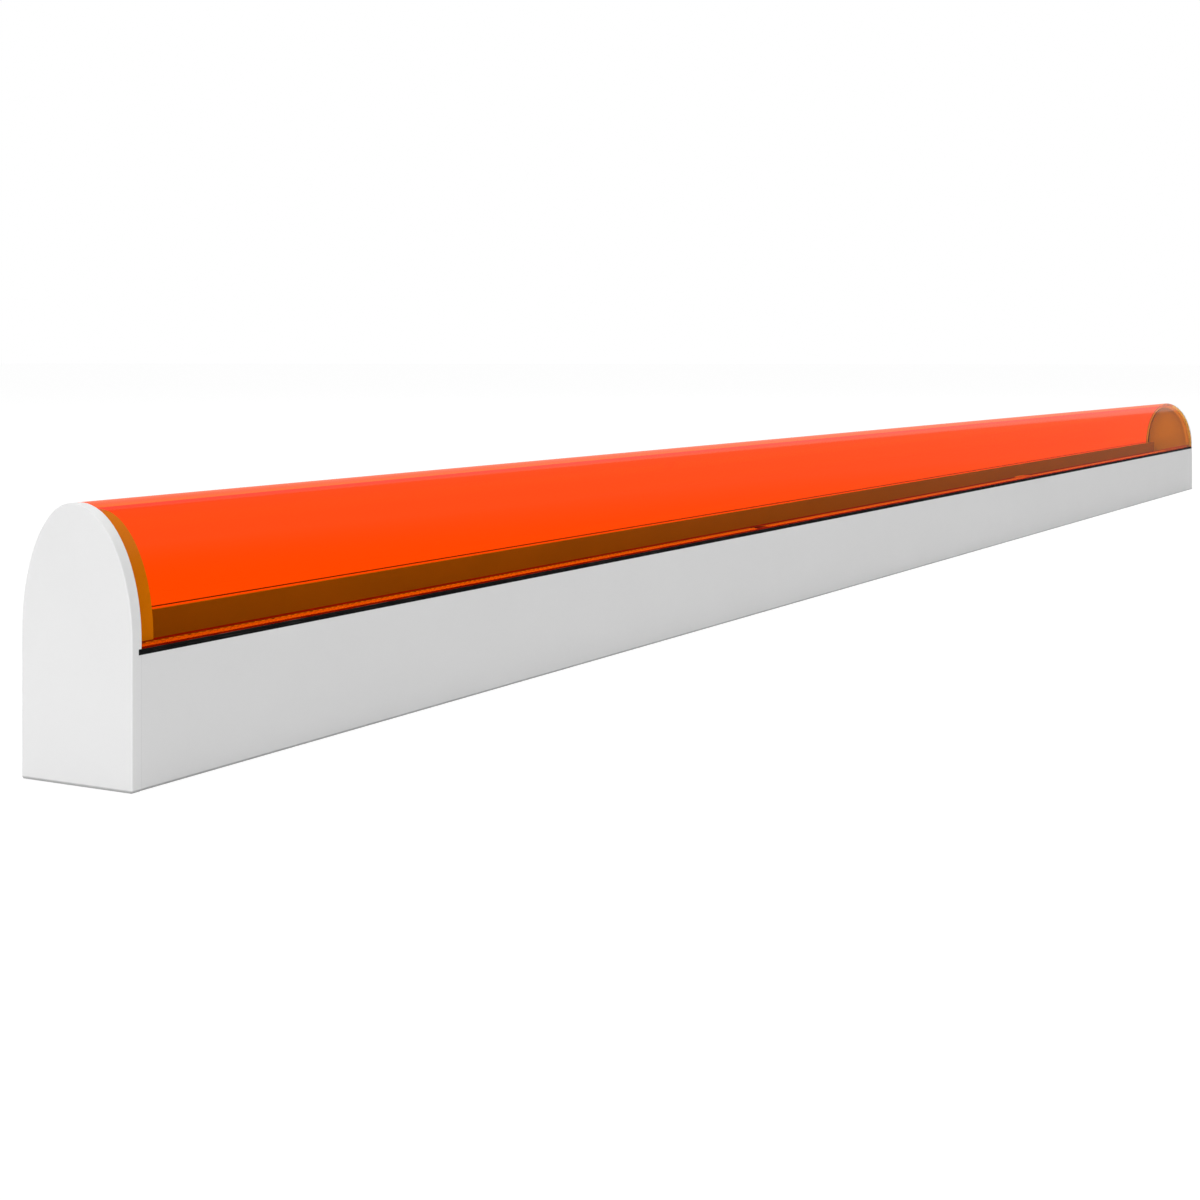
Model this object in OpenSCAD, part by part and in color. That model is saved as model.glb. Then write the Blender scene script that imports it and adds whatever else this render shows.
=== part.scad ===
// Linear orange warning and guidance light bar: a white channel with a domed
// orange lens, full-height end caps and the light gear on a tray inside.
// The bar runs along X, its front faces -Y, and it stands on its floor at Z = 0.
// The origin is the middle of the underside.

/* [Body] */
// Overall length over both end caps
bar_l = 1500; // [1200:10:2400]
// Overall width of the channel and the lens
bar_w = 44; // [42:1:50]
// Overall height, from the underside to the crown of the lens
bar_h = 84; // [80:1:96]
// Height of the white channel
base_h = 40; // [40:1:42]
// How far the crown of the lens stands behind the middle of the bar
crown_back = 2; // [0:0.5:3]
// Height where the straight sides end and the arch begins
spring_h = 44; // [44:1:46]

/* [Walls] */
// Thickness of the channel's side walls
wall_t = 2; // [1.8:0.1:2.2]
// Thickness of the channel's floor
floor_t = 2.5; // [2.4:0.1:3]
// Thickness of the lens
lens_t = 2.2; // [1.8:0.1:2.5]
// Thickness of the black seal strips under the lens
strip_t = 1.8; // [1:0.1:2]
// Thickness of an end cap's plate
cap_t = 4; // [3.5:0.1:5]
// How far an end cap's lip reaches into the bar
lip_l = 7.8; // [5:0.1:9]
// Thickness of that lip
lip_t = 1.5; // [1.2:0.1:2.5]

/* [Light strip] */
// Number of light boards end to end
board_count = 3; // [3:1:3]
// Width of a light board
board_w = 8; // [8:0.5:10]
// Distance from one light chip to the next
chip_pitch = 3.55; // [3.4:0.05:8]

/* [Fixings] */
// Distance between the two mounting holes in the floor
mount_gap = 1000; // [800:10:1000]
// Radius of the mounting holes, a free fit on a 5 mm screw
mount_r = 2.75; // [2.6:0.05:3.2]
// Radius of the cable's way through the floor
cable_r = 3.5; // [3:0.1:4]

/* [Hidden] */

$fn = 40;
EPS = 0.01;
SIDES = [-1, 1];                     // front and back
half_w = bar_w / 2;
span_l = bar_l - 2 * cap_t;          // length of the channel and the lens
strip_top = base_h + strip_t;        // underside of the lens
arch_n = 48;                         // flats round the arch
edge_c = 0.6;                        // small chamfer along outside edges

foot_h = 1.5;                        // the lens's inward foot
foot_w = 5;
head_w = 3.5;                        // the channel's thick top edge
head_h = 4;
rib_z = 29;                          // the ribs that carry the gear tray
rib_h = 2;
rib_w = 5.5;

seal_in = 0.5;                       // end seals: set in from the outside,
seal_w = 1.2;                        // this wide
seal_t = 0.8;                        // and this deep in the cap
notch_l = 1.2;                       // how far a strip runs into the cap
strip_in = 0.2;                      // the strips stand back from the sides

screw_r = 1.5;                       // 3 mm screws with countersunk heads
screw_head_r = 2.9;
screw_head_h = 1.6;
boss_l = lip_l + 5.8;                // the cap's screw bosses
boss_w = 9;
boss_h = 7;
boss_y = 10;
cap_screw_x = bar_l / 2 - cap_t - lip_l - 1;

sheet_t = 1.2;                       // the gear tray's sheet
tray_l = span_l - 20;
tray_top = 36.4;
tray_w = 26;
tray_foot_w = 39;
tray_screw_xs = [-700, -350, 0, 350, 700];
tray_screw_y = 16.8;
shield_top = 46.3;                   // the tray's back side stands up as a shield

tape_t = 0.2;
board_t = 1;
board_gap = 4;
feed_gap = 14;                       // wider gap where the feed wires come up
board_l = (tray_l - 6 - board_gap - feed_gap) / board_count;
board_z = tray_top + tape_t;
board_top = board_z + board_t;
chip = [2.8, 3.4, 1.1];
chip_count = floor((board_l - 14) / chip_pitch) + 1;
// left end of each board
board_x = [
    -tray_l / 2 + 3,
    -tray_l / 2 + 3 + board_l + board_gap,
    -tray_l / 2 + 3 + 2 * board_l + board_gap + feed_gap
];
feed_x = board_x[2] - feed_gap / 2;

driver_x = 280;                      // left end of the driver
driver_l = 220;
driver_w = 22;
driver_h = 19;
driver_wall = 1.5;
lid_t = 2;
driver_top = tray_top - sheet_t;
driver_screw_xs = [driver_x + 6, driver_x + driver_l - 6];
driver_screw_y = 7;

term_x = 560;                        // left end of the terminal block
term_pitch = 7;
term_l = 22;
term_h = 13;
pole_ys = [-term_pitch, 0, term_pitch];
supply_ys = [-term_pitch, 0];        // live and neutral
feed_ys = [-1.2, 1.2];

grommet_x = 640;
vent_x = -640;
clamp_x = 612;
stud_x = 540;
stud_r = 2;
tag_x = stud_x + 7.5;                // the earth tag's barrel
tag_t = 0.8;
nut_r = 4.04;
wire_r = 0.9;
wire_z = driver_top - 10;

// ---------------------------------------------------------------- outlines

// The arch, drawn inset from the outside: two quarter ellipses that meet at
// the crown. It runs from the back springing point round to the front one.
function arch(inset) = [
    for (i = [0:arch_n])
        let (a = 180 * i / arch_n,
             side = a < 90 ? half_w - crown_back : half_w + crown_back)
        [crown_back + (side - inset) * cos(a), spring_h + (bar_h - spring_h - inset) * sin(a)]
];

// Everything under the arch down to the height low, inset from the outside
module arch_area(inset, low) {
    polygon(concat([[-half_w + inset, low], [half_w - inset, low]], arch(inset)));
}

// The bar's whole end outline, with small chamfers along the bottom edges
module end_outline() {
    polygon(concat(
        [[-half_w, edge_c], [-half_w + edge_c, 0], [half_w - edge_c, 0], [half_w, edge_c]],
        arch(0)));
}

// Runs an outline drawn in Y and Z along X
module along_x(x, l) {
    translate([x, 0, 0]) rotate([90, 0, 90]) linear_extrude(l) children();
}

// A rectangle from one corner to the opposite one
module box2(a, b) {
    low = [min(a.x, b.x), min(a.y, b.y)];
    translate(low) square([abs(b.x - a.x), abs(b.y - a.y)]);
}

// A box from one corner to the opposite one
module box3(a, b) {
    low = [min(a.x, b.x), min(a.y, b.y), min(a.z, b.z)];
    translate(low) cube([abs(b.x - a.x), abs(b.y - a.y), abs(b.z - a.z)]);
}

module channel_outline() {
    difference() {
        polygon([
            [-half_w, edge_c], [-half_w + edge_c, 0], [half_w - edge_c, 0],
            [half_w, edge_c], [half_w, base_h], [-half_w, base_h]
        ]);
        box2([-half_w + wall_t, floor_t], [half_w - wall_t, base_h - head_h]);
        box2([-half_w + head_w, floor_t], [half_w - head_w, base_h + 1]);
    }
    for (s = SIDES)
        box2([s * (half_w - wall_t - rib_w), rib_z], [s * (half_w - wall_t / 2), rib_z + rib_h]);
}

module lens_outline() {
    difference() {
        arch_area(0, strip_top);
        arch_area(lens_t, strip_top - 1);
    }
    for (s = SIDES)
        box2([s * (half_w - foot_w), strip_top], [s * (half_w - lens_t / 2), strip_top + foot_h]);
}

// ---------------------------------------------------------------- fasteners

// A 3 mm countersunk screw: head down at z = 0, shank up
module screw_csk(l) {
    difference() {
        union() {
            cylinder(r1 = screw_head_r, r2 = screw_r, h = screw_head_h);
            translate([0, 0, screw_head_h - EPS]) cylinder(r = screw_r, h = l - screw_head_h);
        }
        translate([0, 0, -EPS]) cylinder(r = 1.15, h = 1.2, $fn = 6);
    }
}

// The hole that such a screw fills
module screw_csk_hole(l) {
    translate([0, 0, -EPS]) cylinder(r = screw_head_r, h = 2 * EPS);
    cylinder(r1 = screw_head_r, r2 = screw_r, h = screw_head_h);
    translate([0, 0, screw_head_h - EPS]) cylinder(r = screw_r, h = l - screw_head_h + EPS);
}

// A small pan-head screw: head up at z = 0, shank down
module screw_pan(r, l) {
    difference() {
        cylinder(r1 = 2 * r, r2 = 1.7 * r, h = 1.2 * r);
        translate([0, 0, 0.5 * r]) cylinder(r = 0.8 * r, h = r, $fn = 6);
    }
    translate([0, 0, -l]) cylinder(r = r, h = l + EPS);
}

module at_cap_screws() {
    for (x = [-cap_screw_x, cap_screw_x], y = [-boss_y, boss_y]) translate([x, y, 0]) children();
}

module at_tray_screws() {
    for (x = tray_screw_xs, y = [-tray_screw_y, tray_screw_y])
        translate([x, y, rib_z + rib_h + sheet_t]) children();
}

// Driver screws come from above, with their heads flush in the tray
module at_driver_screws() {
    for (x = driver_screw_xs, y = [-driver_screw_y, driver_screw_y])
        translate([x, y, tray_top]) rotate([180, 0, 0]) children();
}

module at_mount_holes() {
    for (x = [-mount_gap / 2, mount_gap / 2]) translate([x, 0, 0]) children();
}

// ---------------------------------------------------------------- body

module base_channel() {
    color("whitesmoke") difference() {
        along_x(-span_l / 2, span_l) channel_outline();
        at_cap_screws() screw_csk_hole(floor_t + 1);
        at_tray_screws() translate([0, 0, -9]) cylinder(r = screw_r, h = 10);
        at_mount_holes() translate([0, 0, -1]) cylinder(r = 5, h = floor_t + 2);
        translate([grommet_x, 0, -1]) cylinder(r = 8, h = floor_t + 2);
        translate([vent_x, 0, -1]) cylinder(r = 5, h = floor_t + 2);
        translate([stud_x, 0, -1]) cylinder(r = stud_r, h = floor_t + 2);
        for (y = [-8, 8]) translate([clamp_x, y, -1]) cylinder(r = 1.25, h = floor_t + 2);
    }
}

module lens() {
    color([1, 0.3, 0.02, 0.5]) along_x(-span_l / 2, span_l) lens_outline();
}

// A seal strip: the black line between the channel and the lens
module seal_strip() {
    l = span_l + 2 * notch_l;
    color([0.05, 0.05, 0.05])
        box3([-l / 2, half_w - head_w, base_h], [l / 2, half_w - strip_in, strip_top]);
}

// The left end cap. The right one is its mirror image.
module end_cap() {
    inner = -bar_l / 2 + cap_t;
    upper_low = strip_top + foot_h + 0.2;
    lens_gap = lens_t + 0.25;
    box_y = half_w - wall_t - 0.2;
    box_top = rib_z - 0.2;
    color("white") {
        difference() {
            along_x(-bar_l / 2, cap_t) end_outline();
            lens_end_seal();
            channel_end_seal();
            for (s = SIDES)
                box3([inner - notch_l, s * (half_w - head_w), base_h],
                    [inner + 1, s * (half_w + 1), strip_top]);
        }
        // the lip inside the lens
        along_x(inner - EPS, lip_l) difference() {
            arch_area(lens_gap, upper_low);
            arch_area(lens_gap + lip_t, upper_low - 1);
        }
        // the lip inside the channel, with its two screw bosses
        difference() {
            union() {
                along_x(inner - EPS, lip_l) difference() {
                    box2([-box_y, floor_t], [box_y, box_top]);
                    box2([-box_y + lip_t, floor_t + lip_t], [box_y - lip_t, box_top - lip_t]);
                }
                for (y = [-boss_y, boss_y])
                    box3([inner - EPS, y - boss_w / 2, floor_t],
                        [inner + boss_l, y + boss_w / 2, floor_t + boss_h]);
            }
            at_cap_screws() translate([0, 0, floor_t - 1]) cylinder(r = screw_r, h = 7);
        }
    }
}

// The seal between the cap and the end of the lens, lying in the cap's face
module lens_end_seal() {
    color("gainsboro") along_x(-bar_l / 2 + cap_t - seal_t, seal_t) difference() {
        arch_area(seal_in, strip_top + 0.3);
        arch_area(seal_in + seal_w, strip_top - 1);
    }
}

// The seal between the cap and the end of the channel
module channel_end_seal() {
    out = half_w - seal_in;
    color("gainsboro") along_x(-bar_l / 2 + cap_t - seal_t, seal_t) difference() {
        box2([-out, 0.8], [out, base_h - 0.4]);
        box2([-out + seal_w, 0.8 + seal_w], [out - seal_w, base_h]);
    }
}

module cap_screws() {
    color("silver") at_cap_screws() screw_csk(8);
}

// ---------------------------------------------------------------- gear tray

module gear_tray() {
    low = rib_z + rib_h;
    side = tray_w / 2;
    color("gray") difference() {
        along_x(-tray_l / 2, tray_l) {
            box2([-side, driver_top], [side, tray_top]);
            for (s = SIDES) {
                box2([s * (side - sheet_t), low], [s * side, tray_top]);
                box2([s * (side - sheet_t), low], [s * tray_foot_w / 2, low + sheet_t]);
            }
            box2([side - sheet_t, driver_top], [side, shield_top]);
        }
        at_tray_screws() translate([0, 0, -5]) cylinder(r = screw_r + 0.1, h = 10);
        at_driver_screws() screw_csk_hole(4);
        translate([feed_x, 0, driver_top - 1]) cylinder(r = 3.2, h = 4);
    }
}

module tray_screws() {
    color("silver") at_tray_screws() screw_pan(screw_r, 3);
}

module light_board(i) {
    color("ivory") box3([board_x[i], -board_w / 2, board_z],
        [board_x[i] + board_l, board_w / 2, board_top]);
}

module thermal_tape(i) {
    color("lightgray") box3([board_x[i] + 1, -board_w / 2 + 0.5, tray_top],
        [board_x[i] + board_l - 1, board_w / 2 - 0.5, board_z]);
}

module light_chips(i) {
    first = board_x[i] + (board_l - (chip_count - 1) * chip_pitch) / 2;
    color("gold") for (k = [0:chip_count - 1])
        translate([first + k * chip_pitch - chip[0] / 2, -chip[1] / 2, board_top]) cube(chip);
}

// The flat jumper that carries power from the first board to the second
module board_link() {
    color("black") box3([board_x[1] - board_gap - 3, -3.5, board_top],
        [board_x[1] + 3, 3.5, board_top + 0.8]);
}

// The feed connector straddles the gap between the second and third boards
module feed_connector() {
    x0 = board_x[2] - feed_gap - 3.5;
    x1 = board_x[2] + 3.5;
    color("white") difference() {
        box3([x0, -4, board_top], [x1, 4, board_top + 1.6]);
        translate([feed_x, 0, board_top - 1]) cylinder(r = 2.8, h = 4);
    }
}

// A rubber grommet round the feed wires, snapped into the tray
module feed_grommet() {
    color("black") translate([feed_x, 0, 0]) difference() {
        union() {
            translate([0, 0, tray_top]) cylinder(r = 4.2, h = 0.8);
            translate([0, 0, driver_top - EPS]) cylinder(r = 3.2, h = sheet_t + 2 * EPS);
            translate([0, 0, driver_top - 0.8]) cylinder(r = 4.2, h = 0.8);
        }
        translate([0, 0, driver_top - 2]) cylinder(r = 2.4, h = 6);
    }
}

// ---------------------------------------------------------------- driver

module driver_case() {
    low = driver_top - driver_h;
    color("lightgray") difference() {
        box3([driver_x, -driver_w / 2, low], [driver_x + driver_l, driver_w / 2, driver_top - lid_t]);
        difference() {
            box3([driver_x + driver_wall, -driver_w / 2 + driver_wall, low + driver_wall],
                [driver_x + driver_l - driver_wall, driver_w / 2 - driver_wall, driver_top]);
            for (x = driver_screw_xs, y = [-driver_screw_y, driver_screw_y])
                translate([x, y, low]) cylinder(r = 3.4, h = driver_h);
        }
        at_driver_screws() translate([0, 0, 2]) cylinder(r = screw_r, h = 8);
        for (y = supply_ys) translate([driver_x + driver_l - 3, y, wire_z]) rotate([0, 90, 0])
            cylinder(r = wire_r, h = 5);
        for (y = feed_ys) translate([driver_x - 2, y, wire_z]) rotate([0, 90, 0])
            cylinder(r = wire_r, h = 5);
    }
}

module driver_lid() {
    color("dimgray") difference() {
        box3([driver_x, -driver_w / 2, driver_top - lid_t],
            [driver_x + driver_l, driver_w / 2, driver_top]);
        at_driver_screws() translate([0, 0, 1]) cylinder(r = screw_r, h = 8);
    }
}

// The circuit board in the driver, with its transformer and capacitors
module driver_board() {
    low = driver_top - driver_h + driver_wall;
    mid = driver_x + driver_l / 2;
    color("darkgreen") {
        box3([driver_x + 14, -9, low], [driver_x + driver_l - 14, 9, low + 1.6]);
        box3([mid - 12, -8, low + 1.6 - EPS], [mid + 12, 8, low + 13]);
        for (x = [mid - 40, mid - 26, mid + 30])
            translate([x, 0, low + 1.6 - EPS]) cylinder(r = 5, h = 11);
    }
}

module driver_screws() {
    color("silver") at_driver_screws() screw_csk(9);
}

// ---------------------------------------------------------------- wiring

module terminal_block() {
    color("ivory") difference() {
        box3([term_x, -11, driver_top - term_h], [term_x + term_l, 11, driver_top]);
        for (y = pole_ys) {
            translate([term_x - 1, y, wire_z]) rotate([0, 90, 0]) cylinder(r = wire_r, h = 8);
            translate([term_x + term_l - 7, y, wire_z]) rotate([0, 90, 0]) cylinder(r = 1.6, h = 8);
            for (x = [term_x + 5, term_x + term_l - 5])
                translate([x, y, driver_top - term_h - 1]) cylinder(r = 1.6, h = 3);
        }
    }
}

module terminal_screws() {
    color("silver") for (y = pole_ys, x = [term_x + 5, term_x + term_l - 5])
        translate([x, y, driver_top - term_h + 0.4]) difference() {
            cylinder(r = 1.6, h = 1.6);
            box3([-2, -0.25, -1], [2, 0.25, 0.5]);
        }
}

function unit(v) = v / norm(v);
function curve(p, t) =
    p[0] * pow(1 - t, 3) + 3 * p[1] * t * pow(1 - t, 2) + 3 * p[2] * t * t * (1 - t) + p[3] * pow(t, 3);

// A round wire along a curve with four control points. It never runs along Y.
module wire(p, shade) {
    rings = 24;
    sides = 8;
    points = [
        for (i = [0:rings])
            let (t = i / rings,
                 along = unit(curve(p, min(t + 0.01, 1)) - curve(p, max(t - 0.01, 0))),
                 u = unit(cross(along, [0, 1, 0])),
                 v = cross(u, along))
            for (k = [0:sides - 1])
                curve(p, t) + wire_r * (u * cos(360 * k / sides) + v * sin(360 * k / sides))
    ];
    skin = [
        for (i = [0:rings - 1], k = [0:sides - 1])
            let (a = i * sides + k, b = i * sides + (k + 1) % sides)
            [a, b, b + sides, a + sides]
    ];
    first = [for (k = [0:sides - 1]) sides - 1 - k];
    last = [for (k = [0:sides - 1]) rings * sides + k];
    color(shade) polyhedron(points, concat([first], skin, [last]));
}

// A wire in one pole of the terminal block, back to the driver
module driver_wire(y, shade) {
    x0 = driver_x + driver_l - driver_wall;
    x1 = term_x + 4;
    wire([[x0, y, wire_z], [x0 + 25, y, wire_z], [x1 - 25, y, wire_z], [x1, y, wire_z]], shade);
}

module live_wire() {
    driver_wire(supply_ys[0], "saddlebrown");
}

module neutral_wire() {
    driver_wire(supply_ys[1], "royalblue");
}

module earth_wire() {
    wire([[term_x + 4, term_pitch, wire_z], [term_x - 14, term_pitch, wire_z],
        [tag_x, 0, 16], [tag_x, 0, floor_t + tag_t + 1]], "yellowgreen");
}

// The feed wires leave the driver's left end and rise through the tray
module feed_wire(y, shade) {
    x0 = driver_x + driver_wall;
    wire([[x0, y, wire_z], [x0 - 24, y, wire_z],
        [feed_x, y, wire_z - 2], [feed_x, y, board_top + 1.2]], shade);
}

module feed_wire_positive() {
    feed_wire(feed_ys[0], "firebrick");
}

module feed_wire_negative() {
    feed_wire(feed_ys[1], "black");
}

// ---------------------------------------------------------------- floor

// The earth stud is pressed up through the floor
module earth_stud() {
    color("goldenrod") translate([stud_x, 0, 0.4]) cylinder(r = stud_r, h = 12);
}

// A ring tag under the nut, with an upright barrel that holds the earth wire
module earth_tag() {
    color("silver") translate([stud_x, 0, floor_t]) difference() {
        union() {
            cylinder(r = 4.4, h = tag_t);
            box3([2, -2, 0], [tag_x - stud_x + 1.6, 2, tag_t]);
            translate([tag_x - stud_x, 0, 0]) cylinder(r = 1.6, h = 5);
        }
        translate([0, 0, -1]) cylinder(r = stud_r, h = 6);
        translate([tag_x - stud_x, 0, tag_t]) cylinder(r = wire_r + 0.25, h = 5);
    }
}

module earth_nut() {
    color("goldenrod") translate([stud_x, 0, floor_t + tag_t]) difference() {
        cylinder(r = nut_r, h = 3.2, $fn = 6);
        translate([0, 0, -1]) cylinder(r = stud_r, h = 6);
    }
}

module cable_grommet() {
    color("black") translate([grommet_x, 0, 0]) difference() {
        union() {
            translate([0, 0, 0.4]) cylinder(r = 8, h = floor_t - 0.4 + EPS);
            translate([0, 0, floor_t]) cylinder(r = 10.5, h = 2);
        }
        translate([0, 0, -1]) cylinder(r = cable_r, h = 8);
    }
}

// The saddle that grips the incoming cable
module cable_clamp() {
    color("ivory") difference() {
        box3([clamp_x - 4, -11, floor_t], [clamp_x + 4, 11, floor_t + 9]);
        box3([clamp_x - 5, -4, floor_t - 1], [clamp_x + 5, 4, floor_t + 4]);
        translate([clamp_x - 5, 0, floor_t + 4]) rotate([0, 90, 0]) cylinder(r = 4, h = 10);
        for (y = [-8, 8]) translate([clamp_x, y, floor_t - 1]) cylinder(r = 1.25, h = 12);
    }
}

module clamp_screws() {
    color("silver") for (y = [-8, 8]) translate([clamp_x, y, floor_t + 9]) screw_pan(1.25, 11);
}

// Rubber bushes that seal round the mounting screws
module mount_bushes() {
    color("black") at_mount_holes() difference() {
        union() {
            translate([0, 0, 0.4]) cylinder(r = 5, h = floor_t - 0.4 + EPS);
            translate([0, 0, floor_t]) cylinder(r = 7.5, h = 2);
        }
        translate([0, 0, -1]) cylinder(r = mount_r, h = 8);
    }
}

// A breather that lets the sealed bar equalise its pressure
module vent_plug() {
    color("dimgray") translate([vent_x, 0, 0]) difference() {
        union() {
            translate([0, 0, 0.4]) cylinder(r = 5, h = floor_t - 0.4 + EPS);
            translate([0, 0, floor_t]) cylinder(r = 7, h = 3);
        }
        translate([0, 0, -1]) cylinder(r = 1.2, h = 4);
        for (a = [0:60:359]) rotate([0, 0, a]) translate([4.5, 0, floor_t + 1]) rotate([0, 90, 0])
            cylinder(r = 0.6, h = 4);
    }
}

// ---------------------------------------------------------------- nodes

base_channel();
lens();
mirror([0, 1, 0]) seal_strip();  // seal_strip_front
seal_strip();  // seal_strip_back
end_cap();  // end_cap_left
mirror([1, 0, 0]) end_cap();  // end_cap_right
lens_end_seal();  // lens_end_seal_left
mirror([1, 0, 0]) lens_end_seal();  // lens_end_seal_right
channel_end_seal();  // channel_end_seal_left
mirror([1, 0, 0]) channel_end_seal();  // channel_end_seal_right
cap_screws();
gear_tray();
tray_screws();
thermal_tape(0);  // thermal_tape_1
thermal_tape(1);  // thermal_tape_2
thermal_tape(2);  // thermal_tape_3
light_board(0);  // led_board_1
light_board(1);  // led_board_2
light_board(2);  // led_board_3
light_chips(0);  // led_chips_1
light_chips(1);  // led_chips_2
light_chips(2);  // led_chips_3
board_link();
feed_connector();
feed_grommet();
driver_case();
driver_lid();
driver_board();
driver_screws();
terminal_block();
terminal_screws();
live_wire();
neutral_wire();
earth_wire();
feed_wire_positive();
feed_wire_negative();
earth_stud();
earth_tag();
earth_nut();
cable_grommet();
cable_clamp();
clamp_screws();
mount_bushes();
vent_plug();
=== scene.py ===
"""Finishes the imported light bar: detailed pieces, procedural materials and a plain studio."""

import math

import bmesh
import bpy
from bpy.props import FloatProperty, FloatVectorProperty, IntProperty, PointerProperty
from bpy.types import Operator, Panel, PropertyGroup
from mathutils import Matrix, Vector


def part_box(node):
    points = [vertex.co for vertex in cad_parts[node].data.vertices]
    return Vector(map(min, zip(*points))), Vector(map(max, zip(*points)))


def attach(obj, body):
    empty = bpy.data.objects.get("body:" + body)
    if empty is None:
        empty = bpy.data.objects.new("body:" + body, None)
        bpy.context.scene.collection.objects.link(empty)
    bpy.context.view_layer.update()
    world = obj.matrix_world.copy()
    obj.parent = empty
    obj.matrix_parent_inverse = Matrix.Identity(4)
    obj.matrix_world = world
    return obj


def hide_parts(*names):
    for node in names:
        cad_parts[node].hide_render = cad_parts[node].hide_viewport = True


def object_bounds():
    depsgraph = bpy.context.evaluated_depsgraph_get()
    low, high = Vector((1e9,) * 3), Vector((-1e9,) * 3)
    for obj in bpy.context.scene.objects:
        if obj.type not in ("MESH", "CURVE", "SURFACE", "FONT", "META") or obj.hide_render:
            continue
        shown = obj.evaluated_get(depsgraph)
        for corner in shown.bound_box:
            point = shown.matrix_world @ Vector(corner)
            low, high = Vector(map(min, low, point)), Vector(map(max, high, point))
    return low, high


bl_info = {
    "name": "Orange Light Bar",
    "version": (1, 0, 0),
    "blender": (4, 5, 0),
    "location": "View3D > Sidebar > Light Bar",
    "description": "Finishes the packed light bar with detailed pieces, materials and a studio",
    "category": "Object",
}

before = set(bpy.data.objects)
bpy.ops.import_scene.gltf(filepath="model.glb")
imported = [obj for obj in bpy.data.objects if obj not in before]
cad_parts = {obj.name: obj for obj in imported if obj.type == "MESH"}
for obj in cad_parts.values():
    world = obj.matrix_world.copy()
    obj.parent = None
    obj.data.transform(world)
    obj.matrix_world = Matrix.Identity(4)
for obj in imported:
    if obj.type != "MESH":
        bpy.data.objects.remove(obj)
CAD_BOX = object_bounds()

MM = 0.001
BODY = "root"
BOARDS = (1, 2, 3)

LENS_LOW, LENS_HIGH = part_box("lens")
STRIP_LOW, STRIP_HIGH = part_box("seal_strip_back")
BAR_LENGTH = CAD_BOX[1].x - CAD_BOX[0].x
HALF_WIDTH = LENS_HIGH.y

# Directions in the room: where the backdrop begins, how its front side brightens, the key light
BACKDROP_EDGE = (0.169, 1.0, -0.594)
FRONT_LEAN = (0.35, 1.0, 0.5)
KEY_FROM = (-0.48, -0.88, 0.0)
FLOOR_GAP = 0.1 * MM
FLOOR_HALF = 60.0
CHIP_LENGTH = 2.8 * MM
CHIP_DOME = Vector((0.85, 0.85, 0.45)) * MM


# ---------------------------------------------------------------- settings


class BarSettings(PropertyGroup):
    """Sizes of the finished pieces."""

    crown_back: FloatProperty(
        name="Crown offset", description="How far the crown stands behind the middle",
        default=2 * MM, unit="LENGTH", subtype="DISTANCE")
    spring_height: FloatProperty(
        name="Spring height", description="Height where the arch of the lens begins",
        default=44 * MM, unit="LENGTH", subtype="DISTANCE")
    lens_wall: FloatProperty(
        name="Lens wall", description="Thickness of the lens",
        default=2.2 * MM, unit="LENGTH", subtype="DISTANCE")
    foot_height: FloatProperty(
        name="Foot height", description="Thickness of the lens's inward foot",
        default=1.5 * MM, unit="LENGTH", subtype="DISTANCE")
    foot_width: FloatProperty(
        name="Foot width", description="Reach of that foot from the outside",
        default=5 * MM, unit="LENGTH", subtype="DISTANCE")
    line_height: FloatProperty(
        name="Line height", description="Height of the dark line inside the lens's back wall",
        default=45.7 * MM, unit="LENGTH", subtype="DISTANCE")
    arch_flats: IntProperty(
        name="Arch flats", description="Flats round half the arch of the lens",
        default=72, min=24, max=160)
    cap_edge: FloatProperty(
        name="Cap edge", description="Radius of an end cap's outer edge",
        default=0.4 * MM, unit="LENGTH", subtype="DISTANCE")
    channel_edge: FloatProperty(
        name="Channel edge", description="Rounding of the channel's long edges",
        default=0.3 * MM, unit="LENGTH", subtype="DISTANCE")
    chip_pitch: FloatProperty(
        name="Chip pitch", description="Distance from one light chip to the next",
        default=3.55 * MM, unit="LENGTH", subtype="DISTANCE")


class FinishSettings(PropertyGroup):
    """Colours of the finished pieces."""

    paint: FloatVectorProperty(
        name="Paint", description="Powder coat on the channel",
        default=(0.86, 0.86, 0.86), subtype="COLOR", size=3, min=0, max=1)
    bare_inside: FloatVectorProperty(
        name="Bare inside", description="Uncoated inside of the channel",
        default=(0.20, 0.19, 0.18), subtype="COLOR", size=3, min=0, max=1)
    cap: FloatVectorProperty(
        name="Cap", description="Moulded plastic of the end caps",
        default=(0.87, 0.87, 0.87), subtype="COLOR", size=3, min=0, max=1)
    lens: FloatVectorProperty(
        name="Lens tint", description="What one face of the lens lets through",
        default=(0.993, 0.497, 0.04), subtype="COLOR", size=3, min=0, max=1)
    rubber: FloatVectorProperty(
        name="Rubber", description="Seal strips, grommets and bushes",
        default=(0.004, 0.004, 0.004), subtype="COLOR", size=3, min=0, max=1)
    phosphor: FloatVectorProperty(
        name="Phosphor", description="Amber face of a light chip",
        default=(0.95, 0.42, 0.04), subtype="COLOR", size=3, min=0, max=1)


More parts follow.
